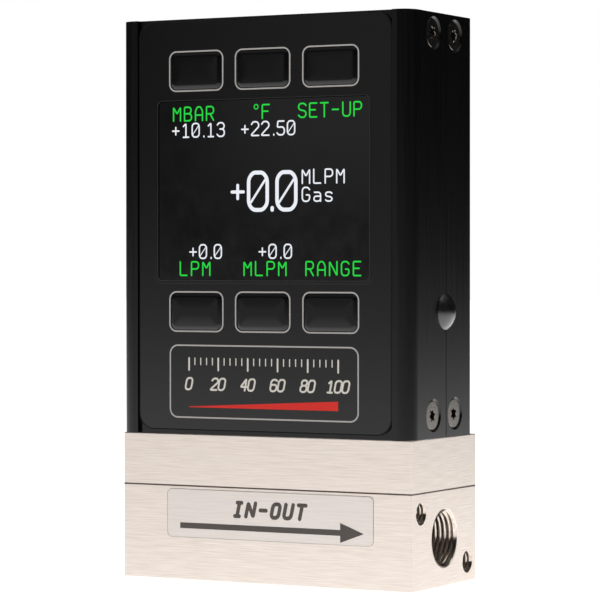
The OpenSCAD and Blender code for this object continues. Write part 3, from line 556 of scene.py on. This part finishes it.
# Clear label on the lower block, with the flow arrow and its ends' names.
# Its skin closes on a level line along its middle.
LABEL_X0, LABEL_X1, LABEL_Z0, LABEL_Z1 = -20.6, 22.5, 7.9, 16.9
label_w, label_h = LABEL_X1 - LABEL_X0, LABEL_Z1 - LABEL_Z0
label_at = ((LABEL_X0 + LABEL_X1) / 2, (LABEL_Z0 + LABEL_Z1) / 2)
LABEL_Y = FRONT_Y - LABEL_THICK
label_face = (label_w - 2 * LABEL_ROUND, label_h - 2 * LABEL_ROUND,
              LABEL_R - LABEL_ROUND)
make("flow_label", [loft(
    [(label_w, label_h, LABEL_R, FRONT_Y), (label_w, label_h, LABEL_R, LABEL_Y),
     (*label_face, LABEL_Y),
     (label_w - label_h + .2, .2, .1, LABEL_Y),
     (label_w - label_h, 0, 0, LABEL_Y)], label_at)], label_film, sharp=10)
make("flow_label_edge", [print_ring(*label_face, LABEL_LINE, label_at,
                                    LABEL_Y)], print_grey)

ARROW_Z = 10.15
arrow_x = np.array([-17.8, 15.76, 15.761, 20.57])
arrow_half = np.array([0.53, 0.53, 1.8, 0.0])


def arrow(y):
    """Arrow along +X: its half height as a function of x, carried to both
    sides of its axis."""
    z = ARROW_Z + arrow_half[:, None] * np.array([1, -1])
    x = np.broadcast_to(arrow_x[:, None], z.shape)
    return sheet(np.stack([x, np.full(z.shape, y), z], -1))


make("flow_arrow", [arrow(LABEL_Y - HAIR)], print_dark)
make("flow_words", lettering(
    "IN-OUT", left=-6.4, base=12.3, height=2.48, pitch=2.62, half=0.37,
    y=LABEL_Y, slant=0.22), print_dark)

# Filler in the colour of the shells, in their seam almost to the surface,
# above and below the dust plug.
plug_low, plug_high = box_of("jack_plug")
SEAM_Y, SEAM_HALF, SEAM_DEEP = 0.1, 0.25, 0.07
SEAM_END, SEAM_FROM_PLUG = 0.1, 0.6
seam_low, seam_high = BLOCK_TOP + SEAM_END, HOUSE_TOP - SEAM_END


def seam_strip(side, low, high):
    """Flat upright strip that faces outwards along X."""
    y = SEAM_Y + SEAM_HALF * side * np.array([-1, 1])
    y, z = np.meshgrid(y, [low, high])
    return sheet(np.stack([np.full(y.shape, side * (HALF_HOUSE - SEAM_DEEP)),
                           y, z], -1))


make("seam_filling", [
    seam_strip(-1, seam_low, seam_high),
    seam_strip(1, seam_low, plug_low[2] - SEAM_FROM_PLUG),
    seam_strip(1, plug_high[2] + SEAM_FROM_PLUG, seam_high)], anodised)

# Overlay and keys

over_w = OVERLAY_HIGH[0] - OVERLAY_LOW[0]
over_h = OVERLAY_HIGH[2] - OVERLAY_LOW[2]
over_at = (0.0, (OVERLAY_HIGH[2] + OVERLAY_LOW[2]) / 2)

# Cut edge of the overlay, from its side over a bevel to a flat line in front;
# the line is dull and dark to paint the shadow in the gap to the lip.
make("overlay_edge", [loft(ring_rows(over_w, over_h, OVERLAY_R, [
    (.02, FACE_Y + .3), (.02, FACE_Y + .06), (-.03, FACE_Y - EDGE_UP),
    (-.19, FACE_Y - EDGE_UP), (-.21, FACE_Y)]), over_at)], film_edge_painted_shadow)

glass_w = WINDOW_HIGH[0] - WINDOW_LOW[0]
glass_h = WINDOW_HIGH[2] - WINDOW_LOW[2]
glass_at = (0.0, (WINDOW_HIGH[2] + WINDOW_LOW[2]) / 2)
# The film's rounded edge reaches over the glass at the right and below.
RIM_RIGHT, RIM_LOW, RIM_R = 0.42, 0.34, 0.85
rim_w, rim_h = glass_w + .2 - RIM_RIGHT, glass_h + .2 - RIM_LOW
rim_at = (glass_at[0] - RIM_RIGHT / 2, glass_at[1] + RIM_LOW / 2)
make("window_film", [loft(ring_rows(rim_w, rim_h, RIM_R, [
    (.65, FACE_Y), (.62, FACE_Y - EDGE_UP), (.15, FACE_Y - EDGE_UP)]),
    rim_at)], overlay_film, sharp=10)
# The rim's paler colour is a painted highlight.
make("window_edge", [loft(ring_rows(rim_w, rim_h, RIM_R, [
    (.15, FACE_Y - EDGE_UP), (.05, FACE_Y - EDGE_UP), (0, FACE_Y + .06),
    (0, FACE_Y + .2)]), rim_at)], window_rim_painted_highlight)


def pillow_key(node):
    """Embossed key: a plunger, its flange, and a pad whose height over the
    face is the rise times the sine of a quarter turn across the bevel. The
    skin closes on a level line along the middle of its top."""
    low, high = box_of(node)
    wide, tall = (high - low)[[0, 2]] - 2 * KEY_FLANGE_OUT
    flange_y = low[1] + KEY_RISE + OVERLAY_THICK + FRONT_WALL
    flange_back, top = flange_y + KEY_FLANGE_THICK, FACE_Y - KEY_RISE
    at = ((low[0] + high[0]) / 2, (low[2] + high[2]) / 2)
    r = KEY_R - KEY_INSET
    share = np.sin(np.linspace(0, np.pi / 2, BEVEL_STEPS))
    inset = KEY_BEVEL * np.linspace(0, 1, BEVEL_STEPS)
    plunger = (2 * PLUNGER_R, 2 * PLUNGER_R, PLUNGER_R)
    flange = (wide + 2 * KEY_FLANGE_OUT, tall + 2 * KEY_FLANGE_OUT,
              KEY_FLANGE_R)
    rows = [(0, 0, 0, high[1]), (*plunger, high[1]), (*plunger, flange_back),
            (*flange, flange_back), (*flange, flange_y),
            (wide, tall, r, flange_y)]
    rows += [(wide - 2 * i, tall - 2 * i, max(r - i, KEY_TOP_R),
              FACE_Y - KEY_RISE * s) for i, s in zip(inset, share)]
    rows += [(wide - tall + 1, 1, KEY_TOP_R, top), (wide - tall, 0, 0, top)]
    return at, (wide, tall), [loft(rows, at)]


outlines = []
for node in KEYS:
    at, (wide, tall), skin = pillow_key(node)
    pad = make(node + "_pad", skin, key_film, body=node, sharp=50)
    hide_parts(node)
    outlines.append(print_ring(wide + 2 * KEY_INSET, tall + 2 * KEY_INSET,
                               KEY_R, PRINT_LINE, at, FACE_Y))
make("key_outlines", outlines, print_grey)

# Display: each line of characters with its left end and its base line.

SMALL = dict(height=2.5, half=0.142, y=GLASS_Y)
green = (lettering("MBAR", -19.03, 85.05, pitch=2.36, **SMALL)
         + lettering("oF", -2.1, 85.1, pitch=1.95, **SMALL)
         + lettering("SET-UP", 7.4, 85.1, pitch=2.26, **SMALL)
         + lettering("LPM", -17.6, 56.48, pitch=2.42, **SMALL)
         + lettering("MLPM", -4.0, 56.48, pitch=2.42, **SMALL)
         + lettering("RANGE", 8.9, 56.48, pitch=2.42, **SMALL))
white = (lettering("+10.13", -19.3, 82.02, pitch=2.14, slashed=True, **SMALL)
         + lettering("+22.50", -4.55, 82.02, pitch=2.14, slashed=True, **SMALL)
         + lettering("MLPM", 8.15, 73.15, pitch=2.35, **SMALL)
         + lettering("Gas", 8.15, 69.9, pitch=2.35, **SMALL)
         + lettering("+0.0", -15.6, 59.62, pitch=2.12, slashed=True, **SMALL)
         + lettering("+0.0", -0.9, 59.62, pitch=2.12, slashed=True, **SMALL)
         + lettering("+", -6.68, 69.65, height=4.5, pitch=3.0, half=0.29,
                     y=GLASS_Y)
         + lettering("0.0", -3.03, 68.43, height=6.82, pitch=3.96, half=0.36,
                     y=GLASS_Y, slashed=True, narrow=0.953))
make("display_labels", green, green_lit)
make("display_values", white, white_lit)

# Printed panel under the keys: a plain flow scale

PANEL_W, PANEL_Z0, PANEL_Z1, PANEL_R = 39.3, 30.23, 43.54, 1.6
make("panel_outline", [print_ring(
    PANEL_W, PANEL_Z1 - PANEL_Z0, PANEL_R, PRINT_LINE,
    (0, (PANEL_Z0 + PANEL_Z1) / 2), FACE_Y)], print_grey)
SCALE_HALF, TICK_TOP, NUMBER_BASE = 15.6, 41.2, 35.4
# Length and half width of a tick. Every fifth one is long and has a number.
LONG_TICK, SHORT_TICK = (2.2, 0.17), (1.2, 0.11)
DIGIT_PITCH, DIGIT_SPACE = 1.55, 0.35
WEDGE_BASE, WEDGE_THIN, WEDGE_THICK = 32.1, 0.15, 1.7
ticks, numbers = [], []
for i, x in enumerate(np.linspace(-SCALE_HALF, SCALE_HALF, 26)):
    long = i % 5 == 0
    length, half = LONG_TICK if long else SHORT_TICK
    ticks.append(stroke([(x, TICK_TOP), (x, TICK_TOP - length)], half, FACE_Y))
    if long:
        text = str(4 * i)
        width = DIGIT_PITCH * len(text) - DIGIT_SPACE
        numbers += lettering(text, x - width / 2 - 0.25, NUMBER_BASE,
                             height=2.1, pitch=DIGIT_PITCH, half=0.18,
                             y=FACE_Y, slant=0.2)
make("scale_ticks", ticks + numbers, print_pale)


def wedge(y):
    """Range wedge: its height grows evenly along the scale."""
    x = np.array([-SCALE_HALF, SCALE_HALF])
    top = WEDGE_BASE + np.array([WEDGE_THIN, WEDGE_THICK])
    z = np.stack([top, np.full(2, WEDGE_BASE)], -1)
    return sheet(np.stack([np.broadcast_to(x[:, None], z.shape),
                           np.full(z.shape, y), z], -1))


make("scale_wedge", [wedge(FACE_Y - HAIR)], print_red)

# Side screws

screws_low, screws_high = box_of("side_screws")
HEAD_R, SHANK_R, SCREW_LEN, BREAK = 2.58, 1.42, 8.0, 0.06
LOBE_R, LOBE, SOCKET_DEEP = 0.98, 0.2, 1.0

# Shank, cone and edge of the head, then the six-lobed socket and its floor.
star_profile = [
    (-SCREW_LEN, 0, 0), (-SCREW_LEN, SHANK_R, 0),
    (-(HEAD_R - SHANK_R), SHANK_R, 0), (-0.05, HEAD_R, 0),
    (0, HEAD_R - BREAK, 0), (0, LOBE_R + BREAK, LOBE), (-BREAK, LOBE_R, LOBE),
    (-SOCKET_DEEP, LOBE_R - 0.05, LOBE), (-SOCKET_DEEP - 0.05, 0.5, 0),
    (-SOCKET_DEEP - 0.25, 0, 0)]
low_y, high_y = screws_low[1] + HEAD_R, screws_high[1] - HEAD_R
low_z, high_z = screws_low[2] + HEAD_R, screws_high[2] - HEAD_R
screw_places = [(low_y, low_z), (high_y, low_z), (low_y, high_z),
                (high_y, high_z)]
screws = [revolved(star_profile, (screws_high[0], y, z), side,
                   turn=0.35 * i + 0.2)
          for side in (1, -1) for i, (y, z) in enumerate(screw_places)]
side_screws = make("star_screws", screws, black_oxide, sharp=30)
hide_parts("side_screws")

# Camera

YAW, PITCH, ROLL = np.radians([28.660, 0.667, -0.02])
TARGET_RIGHT, TARGET_Z, DISTANCE = 0.206, 51.86, 539.34
FOCAL_PIXELS, IMAGE_PIXELS, SENSOR = 2892.1, 600, 36.0

right = np.array([np.cos(YAW), np.sin(YAW), 0])
ahead = np.array([-np.sin(YAW) * np.cos(PITCH), np.cos(YAW) * np.cos(PITCH),
                  -np.sin(PITCH)])
above = np.cross(right, ahead)
right, above = (np.cos(ROLL) * right + np.sin(ROLL) * above,
                np.cos(ROLL) * above - np.sin(ROLL) * right)
eye = (np.array([np.cos(YAW), np.sin(YAW), 0]) * TARGET_RIGHT
       + np.array([0, 0, TARGET_Z]) - ahead * DISTANCE) * MM
lens = bpy.data.cameras.new("photo_camera")
lens.sensor_width = SENSOR
lens.lens = FOCAL_PIXELS * SENSOR / IMAGE_PIXELS
lens.clip_start, lens.clip_end = 0.01, 50
camera = bpy.data.objects.new("photo_camera", lens)
turned = np.eye(4)
turned[:3, :3] = np.stack([right, above, -ahead], 1)
turned[:3, 3] = eye
camera.matrix_world = Matrix(turned.tolist())
bpy.context.scene.collection.objects.link(camera)
bpy.context.scene.camera = camera

# Studio


def seen_mirrored(tree, ray):
    """1 for glossy and transmission rays, else 0."""
    return add(tree, "Math", {0: ray.outputs["Is Glossy Ray"],
                              1: ray.outputs["Is Transmission Ray"]},
               operation="MAXIMUM").outputs[0]


# The room: white to the camera, an even plain level for diffuse light, and
# for gloss a dim room, a shade paler on the side of the camera and under its
# ceiling.
world = bpy.data.worlds.new("paper_studio")
bpy.context.scene.world = world
world.use_nodes = True
tree = world.node_tree
tree.nodes.clear()
ray = add(tree, "LightPath")
heading = add(tree, "SeparateXYZ",
              {0: add(tree, "TexCoord").outputs["Generated"]})
dim_room = add(tree, "MapRange", {"Value": heading.outputs["Y"],
                                  "From Min": -0.6, "From Max": 0.6,
                                  "To Min": 0.045, "To Max": 0.01})
ceiling = add(tree, "MapRange", {"Value": heading.outputs["Z"],
                                 "From Min": 0.5, "From Max": 0.8,
                                 "To Min": 0.0, "To Max": 0.25})
room = add(tree, "Math", {0: dim_room.outputs[0], 1: ceiling.outputs[0]},
           operation="ADD")
for_gloss = add(tree, "Mix", {0: seen_mirrored(tree, ray), 2: 0.85,
                              3: room.outputs[0]})
strength = add(tree, "Mix", {0: ray.outputs["Is Camera Ray"],
                             2: for_gloss.outputs[0], 3: 1.0})
sky = add(tree, "Background", {"Color": linear("#FFFFFF"),
                               "Strength": strength.outputs[0]})
add(tree, "OutputWorld", {"Surface": sky.outputs[0]})

# The paper sweep that it stands on. The camera sees it white, with the
# object's shadow; gloss sees pools of light on it, a wide and a small one at
# the front left and a small one behind the right side: (radius, level,
# place) of each.
POOLS = [(1200, 1.1, (-450, -400, 0)), (220, 1.2, (-500, -430, 0)),
         (220, 1.75, (45, 60, 0))]
floor_paper = bpy.data.materials.new("white_paper_sweep")
floor_paper.use_nodes = True
tree = floor_paper.node_tree
tree.nodes.clear()
ray = add(tree, "LightPath")
matt = add(tree, "BsdfDiffuse", {"Color": linear("#E6E6E6")})
shine = add(tree, "Math", {0: ray.outputs["Is Camera Ray"], 1: 0.6},
            operation="MULTIPLY")
lit = add(tree, "Emission", {"Strength": shine.outputs[0]})
to_eye = add(tree, "AddShader", {0: matt.outputs[0], 1: lit.outputs[0]})
place = add(tree, "TexCoord").outputs["Object"]
glow = 0.0
for radius, level, centre in POOLS:
    # Each pool is level / (1 + (distance / radius) squared).
    span = add(tree, "Mapping", {
        "Vector": place, "Scale": (1 / (radius * MM),) * 3,
        "Location": tuple(-c / radius for c in centre)})
    square = add(tree, "VectorMath", {0: span.outputs[0], 1: span.outputs[0]},
                 operation="DOT_PRODUCT")
    below = add(tree, "Math", {0: square.outputs["Value"], 1: 1.0},
                operation="ADD")
    pool = add(tree, "Math", {0: level, 1: below.outputs[0]},
               operation="DIVIDE")
    glow = add(tree, "Math", {0: glow, 1: pool.outputs[0]},
               operation="ADD").outputs[0]
to_gloss = add(tree, "Emission", {"Strength": glow})
paper = add(tree, "MixShader", {0: seen_mirrored(tree, ray),
                                1: to_eye.outputs[0],
                                2: to_gloss.outputs[0]})
add(tree, "OutputMaterial", {"Surface": paper.outputs[0]})

FLOOR_HALF = 4000
ends = np.array([-FLOOR_HALF, FLOOR_HALF], float)
points, quads = sheet(np.stack(np.meshgrid(ends, ends) + [np.zeros((2, 2))],
                               -1))
mesh = bpy.data.meshes.new("floor")
mesh.from_pydata((points * MM).tolist(), [], quads.tolist())
mesh.materials.append(floor_paper)
floor = bpy.data.objects.new("floor", mesh)
bpy.context.scene.collection.objects.link(floor)


def softbox(name, place, target, size, level):
    """Square soft lamp of an even brightness at a place, aimed at a target,
    both in metres. Its power is the level times pi times its area."""
    lamp = bpy.data.lights.new(name, "AREA")
    lamp.size, lamp.energy = size, level * np.pi * size ** 2
    lamp.color = (1.0, 1.0, 1.0)
    holder = bpy.data.objects.new(name, lamp)
    place, target = np.array(place, float), np.array(target, float)
    back = place - target
    back /= np.linalg.norm(back)
    side = np.cross([0, 0, 1], back)
    side /= np.linalg.norm(side)
    turned = np.eye(4)
    turned[:3, :3] = np.stack([side, np.cross(back, side), back], 1)
    turned[:3, 3] = place
    holder.matrix_world = Matrix(turned.tolist())
    bpy.context.scene.collection.objects.link(holder)


softbox("overhead_softbox", (0.15, 0.12, 1.0), (0, 0, 0.05), size=0.7,
        level=3.5)
softbox("wall_glow", (-0.72, -1.5, 0.25), (0, 0, 0.25), size=0.28, level=0.45)

bpy.context.scene.view_settings.view_transform = "Standard"
